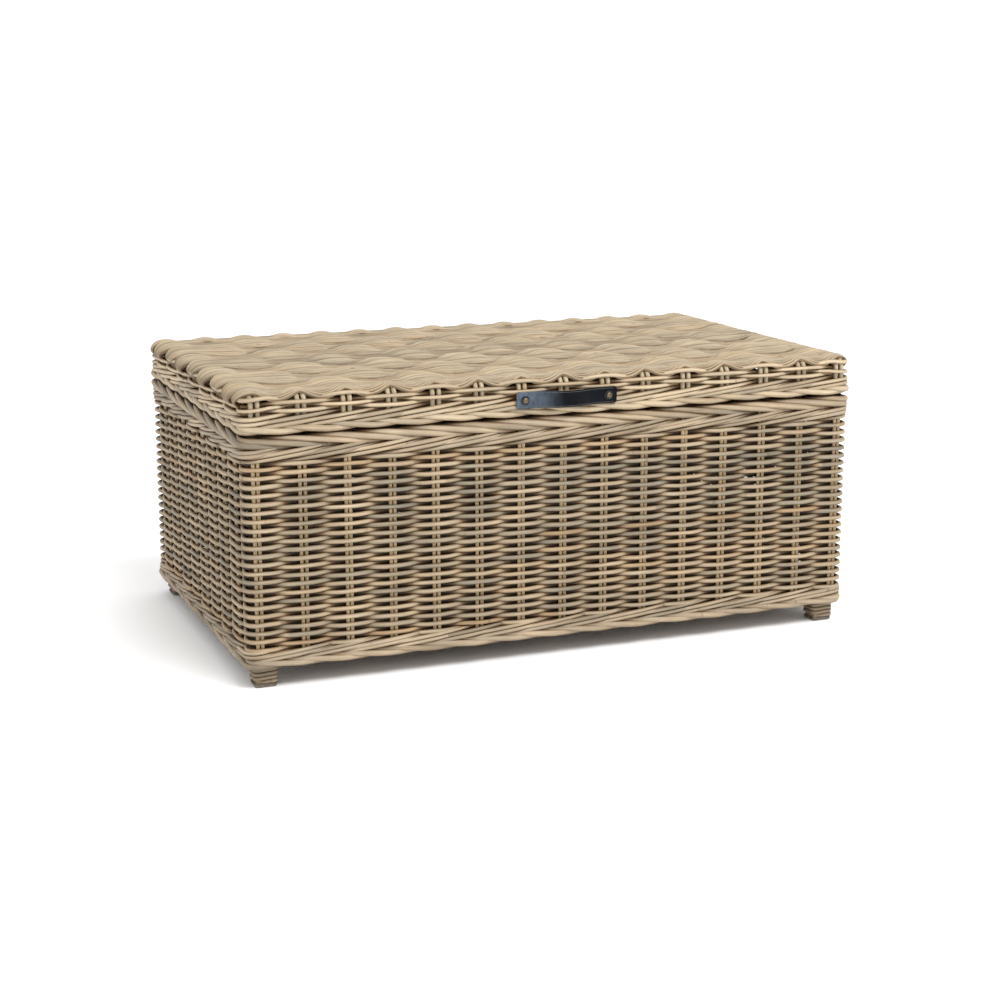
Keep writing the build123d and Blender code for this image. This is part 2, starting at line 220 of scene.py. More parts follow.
def wave(s, length, amplitude, cycles=(3, 5, 9, 14)):
    """A smooth random wobble that closes on itself after one length."""
    total = np.zeros(len(s))
    for count in cycles:
        total += np.sin(2 * math.pi * (count * s / length + rng.random())) * rng.uniform(0.4, 1)
    return total * amplitude / len(cycles) * 1.4


def swing(t, hold=0.07):
    """Goes from 1 to -1 as t goes from 0 to 1, and is level where the cane lies on a stake pair."""
    return np.cos(math.pi * np.clip((t - hold) / (1 - 2 * hold), 0, 1))


def smoothstep(t):
    """From 0 to 1 as t goes from 0 to 1, level at both ends."""
    t = np.clip(t, 0, 1)
    return t * t * (3 - 2 * t)


def recess(offset, deep, proud, darkest=0.3):
    """Painted shade for canes that lie deep: 1 where proud, and darkest where deep."""
    return darkest + (1 - darkest) * smoothstep((offset - deep) / (proud - deep))


def cut_corners(points, rounds=2):
    """Round an open path by cutting its corners, keeping its ends."""
    points = np.asarray(points, float)
    for _ in range(rounds):
        near = points[:-1] * 0.75 + points[1:] * 0.25
        far = points[:-1] * 0.25 + points[1:] * 0.75
        middle = np.stack([near, far], 1).reshape(-1, points.shape[1])
        points = np.vstack([points[:1], middle, points[-1:]])
    return points


# ---------------------------------------------------------------- canes as meshes
class Canes:
    """Gathers round canes and makes one mesh of them.

    Each point keeps its cane's tint, and its place on the cane as a grain coordinate, so that
    the material can draw fibres along the cane.
    """

    def __init__(self, sides=8):
        self.sides = sides
        self.points, self.grains, self.tints, self.shades = [], [], [], []
        self.quads, self.caps = [], []
        self.count = 0

    def add(
        self, path, radius, tint,
        up=(0, 0, 1), closed=False, breadth=1.0, shade=1.0, back_shade=None, crevice=0.5,
    ):
        """Sweep a round section along a path. Its size along up is scaled by breadth.

        Shade is painted shade that darkens the cane where it lies deep, and crevice paints shade on its
        two sides along up, where it meets the canes beside it. In a wall that is seen from both sides,
        back_shade is the painted shade for the half that faces the trunk's inside.
        """
        path = np.asarray(path, float)
        rings = len(path)
        if closed:
            tangent = np.roll(path, -1, 0) - np.roll(path, 1, 0)
        else:
            tangent = np.gradient(path, axis=0)
        tangent /= np.linalg.norm(tangent, axis=1, keepdims=True)
        up = np.broadcast_to(np.asarray(up, float), path.shape)
        side = np.cross(up, tangent)
        side /= np.linalg.norm(side, axis=1, keepdims=True)
        rise = np.cross(tangent, side)
        angle = np.arange(self.sides) * 2 * math.pi / self.sides
        radius = np.broadcast_to(radius, rings).reshape(-1, 1, 1)
        across = side[:, None] * np.cos(angle)[None, :, None]
        breadth = np.broadcast_to(breadth, rings).reshape(-1, 1, 1)
        over = rise[:, None] * np.sin(angle)[None, :, None] * breadth
        self.points.append((path[:, None] + (across + over) * radius).reshape(-1, 3))

        step = np.linalg.norm(np.diff(path, axis=0), axis=1)
        along = np.concatenate([[0], np.cumsum(step)])
        grain = np.zeros((rings, self.sides, 3))
        grain[:, :, 0] = along[:, None] + rng.uniform(0, 40)
        grain[:, :, 1] = np.cos(angle)[None] * radius[:, :, 0]
        grain[:, :, 2] = np.sin(angle)[None] * radius[:, :, 0] + rng.uniform(0, 1)
        self.grains.append(grain.reshape(-1, 3))
        self.tints.append(np.repeat(np.broadcast_to(tint, rings), self.sides))
        shade = np.broadcast_to(shade, rings).reshape(-1, 1)
        if back_shade is not None:
            faces_in = np.cos(angle) > 0.5
            shade = np.where(faces_in, back_shade.reshape(-1, 1), shade)
        # Painted shade: darker where the cane lies deep and on its two sides along up
        self.shades.append((shade * (1 - crevice * np.abs(np.sin(angle)) ** 3)).ravel())

        ring = np.arange(rings if closed else rings - 1)[:, None] * self.sides
        following = (ring + self.sides) % (rings * self.sides)
        corner = np.arange(self.sides)[None]
        turned = (corner + 1) % self.sides
        quads = np.stack([ring + corner, ring + turned, following + turned, following + corner], -1)
        self.quads.append(self.count + quads.reshape(-1, 4))
        if not closed:
            first = np.arange(self.sides)[::-1]
            last = (rings - 1) * self.sides + np.arange(self.sides)
            self.caps += [self.count + first, self.count + last]
        self.count += rings * self.sides

    def mesh(self, name):
        """All the canes as one mesh."""
        quads = np.concatenate(self.quads)
        corners = quads.ravel()
        starts = np.arange(len(quads)) * 4
        if self.caps:
            caps = np.array(self.caps)
            starts = np.concatenate([starts, len(corners) + np.arange(len(caps)) * self.sides])
            corners = np.concatenate([corners, caps.ravel()])
        mesh = bpy.data.meshes.new(name)
        mesh.vertices.add(self.count)
        mesh.vertices.foreach_set("co", np.concatenate(self.points).ravel())
        mesh.loops.add(len(corners))
        mesh.loops.foreach_set("vertex_index", corners)
        mesh.polygons.add(len(starts))
        mesh.polygons.foreach_set("loop_start", starts)
        mesh.update(calc_edges=True)
        mesh.polygons.foreach_set("use_smooth", np.ones(len(starts), bool))
        for label, values in (("tint", self.tints), ("shade", self.shades)):
            attribute = mesh.attributes.new(label, "FLOAT", "POINT")
            attribute.data.foreach_set("value", np.concatenate(values))
        grain = mesh.attributes.new("grain", "FLOAT_VECTOR", "POINT")
        grain.data.foreach_set("vector", np.concatenate(self.grains).ravel())
        mesh.validate()
        return mesh


def piece(name, mesh, material, body, replaced=()):
    """Put a mesh in the scene as a piece that rides on a body and stands for CAD nodes."""
    made = bpy.data.objects.new(name, mesh)
    bpy.context.collection.objects.link(made)
    mesh.materials.append(material)
    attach(made, body)
    if replaced:
        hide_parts(*replaced)


def joined_tints(s, length, joins):
    """One tint for each stretch of cane in a row that was worked with several canes."""
    cuts = np.sort(rng.uniform(0, length, joins))
    tints = rng.random(joins)
    return tints[np.searchsorted(cuts, s) % joins]


def cane_radius(s, length, radius):
    """A cane's thickness, which changes a little along it."""
    return radius * (1 + rng.normal(0, 0.04) + wave(s, length, 0.06))


# ---------------------------------------------------------------- materials
class Nodes:
    """A short way to write a material's nodes."""

    def __init__(self, name):
        self.material = bpy.data.materials.new(name)
        self.material.use_nodes = True
        self.tree = self.material.node_tree
        self.shader = self.tree.nodes["Principled BSDF"]

    def add(self, kind, inputs=(), **settings):
        node = self.tree.nodes.new(kind)
        for key, value in settings.items():
            setattr(node, key, value)
        for key, value in dict(inputs).items():
            self.join(value, node.inputs[key])
        return node

    def join(self, value, socket):
        """Link a socket to another, or set it to a constant."""
        if isinstance(value, bpy.types.NodeSocket):
            self.tree.links.new(value, socket)
        else:
            socket.default_value = value

    def feed(self, name, value):
        """Give the shader a value, or link one to it."""
        self.join(value, self.shader.inputs[name])

    def place(self):
        """Where the point is on its object, which is also its place in the frame."""
        return self.add("ShaderNodeTexCoord").outputs["Object"]

    def noise(self, vector, scale, detail=3, roughness=0.5):
        made = self.add(
            "ShaderNodeTexNoise",
            {"Vector": vector, "Scale": scale, "Detail": detail, "Roughness": roughness},
        )
        return made.outputs["Fac"]

    def ramp(self, factor, stops):
        made = self.add("ShaderNodeValToRGB", {"Fac": factor})
        ramp = made.color_ramp
        while len(ramp.elements) < len(stops):
            ramp.elements.new(0.5)
        for element, (place, colour) in zip(ramp.elements, stops):
            element.position = place
            element.color = (*colour, 1)
        return made.outputs["Color"]

    def mix(self, factor, first, second, blend="MIX"):
        made = self.add("ShaderNodeMix", data_type="RGBA", blend_type=blend)
        self.join(factor, made.inputs[0])
        self.join(first, made.inputs[6])
        self.join(second, made.inputs[7])
        return made.outputs[2]

    def darken(self, colour, amount):
        """Multiply a colour by one number."""
        made = self.add("ShaderNodeCombineColor", {"Red": amount, "Green": amount, "Blue": amount})
        return self.mix(1.0, colour, made.outputs["Color"], "MULTIPLY")

    def remap(self, value, low, high, to_low, to_high):
        made = self.add(
            "ShaderNodeMapRange",
            {"Value": value, "From Min": low, "From Max": high, "To Min": to_low, "To Max": to_high},
        )
        return made.outputs["Result"]

    def stretch(self, vector, scale):
        made = self.add("ShaderNodeVectorMath", {0: vector, 1: scale}, operation="MULTIPLY")
        return made.outputs["Vector"]

    def bump(self, height, strength, distance):
        made = self.add("ShaderNodeBump", {"Height": height, "Strength": strength, "Distance": distance})
        self.feed("Normal", made.outputs["Normal"])


def cane_material(name, stops, fibre=0.30, blotch=0.22, roughness=0.55):
    """Rattan cane: a tint for each cane, fibres along it, blotches, dark leaf rings and painted shade
    from its shade attribute.
    """
    nodes = Nodes(name)
    tint = nodes.add("ShaderNodeAttribute", attribute_name="tint").outputs["Fac"]
    grain = nodes.add("ShaderNodeAttribute", attribute_name="grain").outputs["Vector"]
    place = nodes.place()
    colour = nodes.ramp(tint, stops)

    patch = nodes.noise(nodes.stretch(grain, (9, 60, 60)), 1.0, 3)
    colour = nodes.mix(nodes.remap(patch, 0.35, 0.75, 0, 0.4), colour, (0.47, 0.32, 0.17, 1))
    mottle = nodes.noise(place, 14, 4, 0.6)
    colour = nodes.darken(colour, nodes.remap(mottle, 0.3, 0.7, 1 - blotch, 1 + blotch * 0.5))

    fibres = nodes.noise(nodes.stretch(grain, (22, 620, 620)), 1.0, 4, 0.6)
    colour = nodes.darken(colour, nodes.remap(fibres, 0.3, 0.7, 1 - fibre, 1 + fibre * 0.35))
    # Painted shade: the shade attribute darkens canes where they lie deep, on their sides where they
    # meet, and at turned-down ends
    shade = nodes.add("ShaderNodeAttribute", attribute_name="shade").outputs["Fac"]
    painted_shade_tone = nodes.ramp(shade, [(0.0, (0.03, 0.015, 0.005)), (0.5, (0.38, 0.285, 0.19)), (1.0, (1, 1, 1))])
    colour = nodes.mix(1.0, colour, painted_shade_tone, "MULTIPLY")

    ring_noise = nodes.noise(nodes.stretch(grain, (55, 4, 4)), 1.0, 1)
    ring = nodes.remap(ring_noise, 0.70, 0.76, 0, 0.55)
    colour = nodes.mix(ring, colour, (0.12, 0.075, 0.04, 1))
    nodes.feed("Base Color", colour)
    gloss = nodes.remap(fibres, 0.3, 0.7, roughness + 0.12, roughness - 0.08)
    nodes.feed("Roughness", gloss)
    nodes.feed("Specular IOR Level", 0.35)
    nodes.bump(fibres, 0.35, 0.0006)
    return nodes.material


def wood_material(name):
    """Stained hardwood with grain along its length."""
    nodes = Nodes(name)
    place = nodes.place()
    rings = nodes.noise(nodes.stretch(place, (14, 14, 90)), 1.0, 5, 0.6)
    colour = nodes.ramp(
        rings, [(0.3, (0.16, 0.10, 0.055)), (0.5, (0.27, 0.18, 0.105)), (0.72, (0.38, 0.27, 0.165))]
    )
    pores = nodes.noise(nodes.stretch(place, (400, 400, 60)), 1.0, 3)
    colour = nodes.mix(nodes.remap(pores, 0.5, 0.7, 0, 0.5), colour, (0.09, 0.055, 0.03, 1))
    nodes.feed("Base Color", colour)
    nodes.feed("Roughness", nodes.remap(rings, 0.3, 0.7, 0.62, 0.48))
    nodes.bump(pores, 0.25, 0.0004)
    return nodes.material


def leather_material(name):
    """Pebbled black leather, scuffed paler on its high spots, with a painted bluish sheen over its left
    half.
    """
    nodes = Nodes(name)
    place = nodes.place()
    cells = nodes.add("ShaderNodeTexVoronoi", {"Vector": place, "Scale": 900.0}, feature="F1")
    pebble = cells.outputs["Distance"]
    broad = nodes.noise(place, 70, 4, 0.6)
    colour = nodes.ramp(pebble, [(0.0, (0.006, 0.007, 0.009)), (0.6, (0.002, 0.0025, 0.0035))])
    colour = nodes.mix(nodes.remap(broad, 0.45, 0.75, 0, 0.4), colour, (0.008, 0.010, 0.013, 1))
    # Painted sheen: paler bluish colour towards the strap's left end, standing in for the light its bow
    # reflects there
    along = nodes.add("ShaderNodeSeparateXYZ", {"Vector": place}).outputs["X"]
    painted_sheen_mask = nodes.remap(along, -0.010, -0.055, 0, 1)
    painted_sheen_colour = nodes.mix(broad, (0.006, 0.010, 0.016, 1), (0.135, 0.172, 0.218, 1))
    colour = nodes.mix(painted_sheen_mask, colour, painted_sheen_colour)
    nodes.feed("Specular IOR Level", 0.07)
    nodes.feed("Base Color", colour)
    nodes.feed("Roughness", nodes.remap(broad, 0.3, 0.7, 0.34, 0.5))
    nodes.bump(pebble, 0.4, -0.0005)
    return nodes.material


def thread_material(name):
    """Dark waxed thread, mottled by its twist."""
    nodes = Nodes(name)
    place = nodes.place()
    twist = nodes.noise(place, 2400, 2)
    colour = nodes.ramp(twist, [(0.3, (0.055, 0.055, 0.056)), (0.7, (0.15, 0.149, 0.146))])
    nodes.feed("Base Color", colour)
    nodes.feed("Roughness", 0.75)
    nodes.bump(twist, 0.4, 0.0002)
    return nodes.material


def metal_material(name, dark, light, roughness, scale=260):
    """Aged metal: two tones in blotches, with uneven roughness."""
    nodes = Nodes(name)
    place = nodes.place()
    blotch = nodes.noise(place, scale, 4, 0.65)
    nodes.feed("Base Color", nodes.ramp(blotch, [(0.35, dark), (0.65, light)]))
    nodes.feed("Roughness", nodes.remap(blotch, 0.3, 0.7, roughness + 0.15, roughness))
    nodes.feed("Metallic", 1.0)
    nodes.bump(blotch, 0.15, 0.0003)
    return nodes.material


def pad_material(name):
    """Weathered dark foot pad."""
    nodes = Nodes(name)
    place = nodes.place()
    wear = nodes.noise(place, 120, 5, 0.65)
    colour = nodes.ramp(wear, [(0.3, (0.06, 0.05, 0.04)), (0.7, (0.16, 0.135, 0.105))])
    nodes.feed("Base Color", colour)
    nodes.feed("Roughness", 0.7)
    nodes.bump(wear, 0.3, 0.0004)
    return nodes.material


body_cane = cane_material(
    "body_cane",
    [
        (0.0, (0.23, 0.205, 0.155)),
        (0.25, (0.32, 0.275, 0.20)),
        (0.5, (0.385, 0.315, 0.22)),
        (0.75, (0.45, 0.365, 0.255)),
        (0.92, (0.43, 0.32, 0.195)),
        (1.0, (0.35, 0.235, 0.13)),
    ],
)
stake_cane = cane_material(
    "stake_cane",
    [(0.0, (0.56, 0.43, 0.26)), (0.5, (0.68, 0.52, 0.31)), (1.0, (0.76, 0.56, 0.32))],
)
border_cane = cane_material(
    "border_cane",
    [(0.0, (0.24, 0.20, 0.14)), (0.5, (0.375, 0.305, 0.215)), (1.0, (0.48, 0.39, 0.275))],
    fibre=0.25,
)
lid_border_cane = cane_material(
    "lid_border_cane",
    [(0.0, (0.34, 0.28, 0.195)), (0.5, (0.49, 0.40, 0.275)), (1.0, (0.60, 0.49, 0.34))],
    fibre=0.25,
)
lid_cane = cane_material(
    "lid_cane",
    [
        (0.0, (0.26, 0.22, 0.155)),
        (0.3, (0.36, 0.305, 0.215)),
        (0.6, (0.42, 0.345, 0.235)),
        (0.85, (0.50, 0.42, 0.295)),
        (1.0, (0.45, 0.345, 0.21)),
    ],
    fibre=0.36,
    blotch=0.16,
)
base_cane = cane_material(
    "base_cane",
    [(0.0, (0.30, 0.25, 0.175)), (0.5, (0.38, 0.30, 0.205)), (1.0, (0.44, 0.34, 0.22))],
)
frame_wood = wood_material("frame_wood")
leather = leather_material("leather")
thread = thread_material("thread")
washer_metal = metal_material("washer_metal", (0.02, 0.02, 0.022), (0.06, 0.06, 0.065), 0.35)
antique_brass = metal_material("antique_brass", (0.07, 0.05, 0.032), (0.32, 0.24, 0.145), 0.32, 900)
hinge_steel = metal_material("hinge_steel", (0.05, 0.038, 0.028), (0.13, 0.10, 0.075), 0.4)
foot_pad = pad_material("foot_pad")


# ---------------------------------------------------------------- walls of the body
def on_walls(prefix):
    """The names of a part's four CAD nodes."""
    return [f"{prefix}_{wall}" for wall in WALLS]


def span_places(loop, stations):
    """s right round a loop, in even steps from each stake pair to the next."""
    after = np.append(stations[1:], stations[0] + loop.length)
    return (stations[:, None] + (after - stations)[:, None] * SPAN_STEPS).ravel()


def over_and_under(stations, first):
    """From 1 outside one stake pair to -1 inside the next, and back."""
    signs = first * (-1.0) ** np.arange(len(stations))
    return (signs[:, None] * swing(SPAN_STEPS)).ravel()


def body_rows(loop, stations):
    """The walls' rows. They are squeezed flat where they pass inside a pair."""
    s = span_places(loop, stations)
    pitch = (weave_high.z - weave_low.z) / ROW_COUNT
    proud = 2.5 * MM
    for part in range(ROW_COUNT // ROWS_PER_PIECE):
        canes = Canes()
        for row in range(part * ROWS_PER_PIECE, (part + 1) * ROWS_PER_PIECE):
            offset = over_and_under(stations, (-1) ** row) * WEAVE_SWING
            z = weave_low.z + (row + 0.5) * pitch
            z = z + wave(s, loop.length, 0.5 * MM) + wave(s, loop.length, 0.45 * MM, (29, 47, 83))
            radius = cane_radius(s, loop.length, WEAVER_RADIUS)
            tint = joined_tints(s, loop.length, rng.integers(3, 6))
            canes.add(
                loop.path(s, offset, z), radius, tint, closed=True,
                breadth=1 + WEAVE_SQUEEZE * smoothstep(-offset / WEAVE_SWING),
                shade=recess(offset, -WEAVE_SWING, proud, darkest=0.1),
                back_shade=recess(-offset, -WEAVE_SWING, proud, darkest=0.2),
            )
        name = f"body_weave_rows_{part + 1}"
        piece(name, canes.mesh("rows"), body_cane, "body", on_walls("body_weave"))


def body_stakes(loop, stations):
    """The walls' stake pairs, which wander a little from straight."""
    stakes = Canes()
    for station in stations:
        for side in (-1, 1):
            z = np.linspace(bottom_low.z + STAKE_INSET, top_high.z - STAKE_INSET, STAKE_SAMPLES)
            s = station + side * STAKE_SPACING / 2 + np.cumsum(rng.normal(0, 0.12 * MM, len(z)))
            _, normal = loop.at(s)
            up = np.column_stack([normal, np.zeros(len(s))])
            path = loop.path(s, rng.normal(0, 0.1 * MM), z)
            stakes.add(path, STAKE_RADIUS, rng.random(), up=up, crevice=0.2)
    piece("body_stakes", stakes.mesh("stakes"), stake_cane, "body", on_walls("body_stakes"))


def body_walls():
    loop = wall_loop(cane_inset)
    stations = loop.stations(front_xs, side_ys)
    body_rows(loop, stations)
    body_stakes(loop, stations)


# ---------------------------------------------------------------- plaited borders
# The route of a band's strands: (share of the way along, offset in mm, height above its level in mm)
TOP_ROLL = (
    (0, -6, -8), (0.05, -4, -4.2), (0.12, 1, -4), (0.24, 4.2, -5),
    (0.45, 6.8, -9.5), (0.62, 6.4, -13.5), (0.8, 3, -17.5), (1, -4, -20),
)
TOP_PLAIT = ((0, -4, 2), (0.18, 2.5, 4), (0.38, 6.2, 8), (0.6, 7.6, 13), (0.8, 4.6, 18), (1, -4, 22))
TOP_FILLING = ((0, 2, -10), (0.2, -3.5, -6.5), (0.7, -4.2, -10), (1, -1, -16))

BOTTOM_PLAIT = ((0, -4, 11), (0.18, 2.5, 14), (0.38, 6, 18), (0.6, 7.4, 22), (0.82, 4, 26), (1, -4, 28))
BOTTOM_ROLL = ((0, -4, 14), (0.2, 2, 12), (0.42, 5.4, 8.5), (0.62, 5.6, 5), (0.82, 1.5, 5), (1, -5, 9))
BOTTOM_FILLING = ((0, 0, 20), (0.3, -4, 14), (0.7, -4, 10), (1, 0, 12))

LID_PLAIT = ((0, -4, 8), (0.18, 2.5, 11), (0.38, 6, 15), (0.6, 7.5, 19.5), (0.82, 4.5, 23.5), (1, -4, 26))
LID_ROLL = ((0, -4, 15), (0.2, 2.5, 12.5), (0.42, 6, 8.5), (0.64, 6.3, 4.6), (0.84, 2, 5), (1, -4, 8))
LID_FILLING = ((0, 0, 18), (0.3, -4, 13), (0.7, -4, 8), (1, 0, 9))


def place_at(loop, stations, number):
    """s at a stake number, which may be a fraction or past the last stake."""
    count = len(stations)
    turns, whole = divmod(int(math.floor(number)), count)
    here = stations[whole] + turns * loop.length
    after = stations[(whole + 1) % count] + (turns + (whole + 1) // count) * loop.length
    return here + (after - here) * (number - math.floor(number))


def border_band(canes, loop, stations, level, route, radius, reach, group=1, lead=0.0, taper=0.2):
    """A band of sloping strands. Each comes out at one stake and goes in again a few stakes on.

    The strands of a group run side by side, and the route is that of the group's middle.
    """
    shares, offsets, heights = np.array(route).T
    fine = np.linspace(0, 1, int(15 * reach))
    kernel = np.hanning(9)[1:-1]
    kernel /= kernel.sum()

    def smooth(values):
        padded = np.pad(np.interp(fine, shares, values), 3, mode="edge")
        return np.convolve(padded, kernel, mode="valid")

    offset, height = smooth(offsets * MM), smooth(level + heights * MM)
    beside = 1.85 * radius
    for index in range(len(stations)):
        tint = rng.random()
        slip = rng.normal(0, 2.5 * MM)
        for member in range(group):
            shift = (member - (group - 1) / 2) * beside
            first = place_at(loop, stations, index + lead)
            last = place_at(loop, stations, index + lead + reach)
            s = first + (last - first) * fine + slip + rng.normal(0, 1.5 * MM)
            z = height + shift + rng.normal(0, 0.3 * MM) + wave(s, loop.length, 0.35 * MM)
            thickness = radius * (1 + rng.normal(0, 0.05)) * (1 - taper * (1 - np.sin(math.pi * fine)))
            path = loop.path(s, offset + rng.normal(0, 0.3 * MM), z)
            shade = recess(offset, -4 * MM, 6 * MM)
            canes.add(path, thickness, np.clip(tint + rng.normal(0, 0.15), 0, 1), shade=shade)


def bordered(name, bands, material, body, replaced):
    """One plaited border, made of its bands, each a dict of border_band's arguments."""
    loop = wall_loop(cane_inset)
    stations = loop.stations(front_xs, side_ys)
    canes = Canes()
    for band in bands:
        border_band(canes, loop, stations, **band)
    piece(name, canes.mesh(name), material, body, on_walls(replaced))


def borders():
    """The three plaited borders. Each has two bands that show and a band that fills the inside."""
    plait = dict(reach=2.7, group=2, taper=0.35)
    filling = dict(radius=3.6 * MM, reach=2.4, lead=0.5)
    bordered(
        "body_top_border",
        [
            dict(route=TOP_ROLL, level=top_high.z, radius=5.0 * MM, reach=3.1, taper=0.5),
            dict(route=TOP_PLAIT, level=top_low.z, radius=3.3 * MM, lead=0.3, **plait),
            dict(route=TOP_FILLING, level=top_high.z, **filling),
        ],
        border_cane, "body", "top_border",
    )
    level = bottom_low.z + BOTTOM_BORDER_LIFT
    bordered(
        "body_bottom_border",
        [
            dict(route=BOTTOM_PLAIT, level=level, radius=3.2 * MM, lead=0.2, **plait),
            dict(route=BOTTOM_ROLL, level=level, radius=5.2 * MM, reach=3.0, taper=0.4),
            dict(route=BOTTOM_FILLING, level=level, **filling),
        ],
        border_cane, "body", "bottom_border",
    )
    level = lid_border_low.z
    bordered(
        "lid_border",
        [
            dict(route=LID_PLAIT, level=level, radius=3.3 * MM, lead=0.25, **plait),
            dict(route=LID_ROLL, level=level, radius=5.2 * MM, reach=2.5, taper=0.5),
            dict(route=LID_FILLING, level=level, **filling),
        ],
        lid_border_cane, "lid", "lid_border",
    )


# ---------------------------------------------------------------- lid
class LidProfile:
    """The lid canes' centre line, from the front border up, over the top and down the back."""

    def __init__(self):
        self.height = (lid_top_low.z + lid_top_high.z) / 2
        front, back = front_y + cane_inset, back_y - cane_inset
        into_border = 4 * MM
        base = lid_border_high.z - into_border
        samples = 16
        angle = np.linspace(0, math.pi / 2, samples)
        bend_y, bend_z = LID_BEND * (1 - np.cos(angle)), LID_BEND * np.sin(angle)
        up = self.height - LID_BEND
        y = np.concatenate([[front], front + bend_y, back - bend_y[::-1], [back]])
        z = np.concatenate([[base], up + bend_z, up + bend_z[::-1], [base]])
        out = np.concatenate([[0], angle, math.pi - angle[::-1], [math.pi]])
        self.y, self.z, self.out = y, z, out
        self.q = np.concatenate([[0], np.cumsum(np.hypot(np.diff(y), np.diff(z)))])
        self.flat_start, self.flat_end = self.q[samples], self.q[samples + 1]

    def at(self, q, offset):
        """y and z at q, moved outwards by offset."""
        angle = np.interp(q, self.q, self.out)
        y = np.interp(q, self.q, self.y) - np.cos(angle) * offset
        z = np.interp(q, self.q, self.z) + np.sin(angle) * offset
        return y, z


profile = LidProfile()
top_start = profile.flat_start - EDGE_DROP
top_end = profile.flat_end + EDGE_DROP
bundle_width = (top_end - top_start - 2 * EDGE_WIDTH) / BUNDLE_COUNT


def between_pairs(xs, values):
    """Values given at the stake pairs, swinging smoothly from each pair to the next."""
    place = (xs - front_xs[0]) / stake_pitch
    whole = np.clip(np.floor(place), 0, FRONT_PAIRS - 2).astype(int)
    share = (1 - swing(place - whole)) / 2
    values = np.asarray(values, float)
    return values[whole] + (values[whole + 1] - values[whole]) * share


def alternating(sign):
    """Over one stake pair and under the next, but over both of the end pairs."""
    values = sign * (-1.0) ** np.arange(FRONT_PAIRS)
    values[[0, -1]] = 1
    return values


# How a top strand ends, in mm: (in from the lid's end, down, share of its group's width). Down is
# counted from END_LEVEL above the strand's own middle line at the last stake pair.
LONG_END = ((14, 6, 0.96), (6, 10, 0.78), (1, 15, 0.54), (1, 20, 0.42), (8, 26, 0.38), (11, 36, 0.38))
SHORT_END = ((14, 6, 0.96), (7, 10, 0.76), (3, 14, 0.54), (6, 18, 0.44), (11, 24, 0.42), (11, 33, 0.42))
END_LEVEL = 4.8
END_THINNING = 0.68
END_DARKENING = 0.35
END_TURN = 12 * MM
END_FALL = 18 * MM


def strand_end(y, z, group_y, is_long, side):
    """The end of a top strand: over the last stake pair and down the lid's side."""
    route = LONG_END if is_long else SHORT_END
    return np.array([
        (side * (half_length - inward * MM), group_y + (y - group_y) * share, z - (down - END_LEVEL) * MM)
        for inward, down, share in route
    ])


def add_top_strand(canes, xs, q, offset, group_y, is_long, radius=TOP_STRAND_RADIUS):
    """One strand along the lid, with an end turned down over each side."""
    y, z = profile.at(q, offset)
    path = np.column_stack([xs, y, z])
    left = strand_end(y[0], z[0], group_y, is_long, -1)
    right = strand_end(y[-1], z[-1], group_y, is_long, 1)
    left = cut_corners(np.vstack([left[::-1], path[:1]]))
    right = cut_corners(np.vstack([path[-1:], right]))
    path = np.vstack([left[:-1], path, right[1:]])
    turned = smoothstep((np.abs(path[:, 0]) - front_xs[-1]) / END_TURN)
    fallen = turned * smoothstep((path[:, 2].max() - path[:, 2]) / END_FALL)
    shade = np.pad(top_shade(offset), (len(left) - 1, len(right) - 1), mode="edge")
    # Painted shade: the ends lose the top's painted shade as they turn, then darken as they fall down the
    # lid's side
    shade = (shade + (1 - shade) * turned) * (1 - END_DARKENING * fallen)
    thickness = radius * (1 + rng.normal(0, 0.03)) * (1 - (1 - END_THINNING) * fallen)
    canes.add(path, thickness, rng.random(), up=(0, 1, 0), shade=shade)


def top_shade(offset):
    """Painted shade: the lid's top is darker where its strands dive."""
    return recess(offset, -TOP_DIP, TOP_RISE / 2, darkest=0.84)


def add_filler(canes, xs, q, offset):
    """A strand that shows only where its bundle swells and the strands beside it part."""
    y, z = profile.at(q, offset)
    path = np.column_stack([xs, y, z])
    canes.add(path, TOP_STRAND_RADIUS, rng.random(), up=(0, 1, 0), shade=top_shade(offset))


def add_bundle(canes, bundle, xs, fade, swell):
    """One bundle, domed and spread over a stake pair, then flat and narrow under the next."""
    phase = between_pairs(xs, alternating((-1) ** bundle))
    over, under = np.maximum(phase, 0), np.minimum(phase, 0)
    first, last = bundle == 0, bundle == BUNDLE_COUNT - 1
    low = top_start + EDGE_WIDTH + bundle * bundle_width
    low_side = low - (np.minimum(swell, EDGE_GIVE) if first else swell) * over
    high_side = low + bundle_width + (np.minimum(swell, EDGE_GIVE) if last else swell) * over
    group_y, _ = profile.at(low + bundle_width / 2, 0)
    for strand in range(2 * BUNDLE_STRANDS - 1):
        share = (strand + 1) / (2 * BUNDLE_STRANDS)
        place = share * 2 - 1
        outer = (first and place < 0) or (last and place > 0)
        level = 1 - (1 - (OUTER_RIM if outer else BUNDLE_RIM)) * fade * place**2
        q = low_side + (high_side - low_side) * share + wave(xs, 1.0, 0.4 * MM)
        offset = TOP_RISE * over * level + TOP_DIP * under + rng.normal(0, 0.35 * MM)
        if strand % 2 == 1:
            drop = FILLER_FLAT_DROP + (FILLER_DROP - FILLER_FLAT_DROP) * over * fade
            add_filler(canes, xs, q, offset - drop)
        else:
            add_top_strand(canes, xs, q, offset, group_y, bundle % 2 == 0)


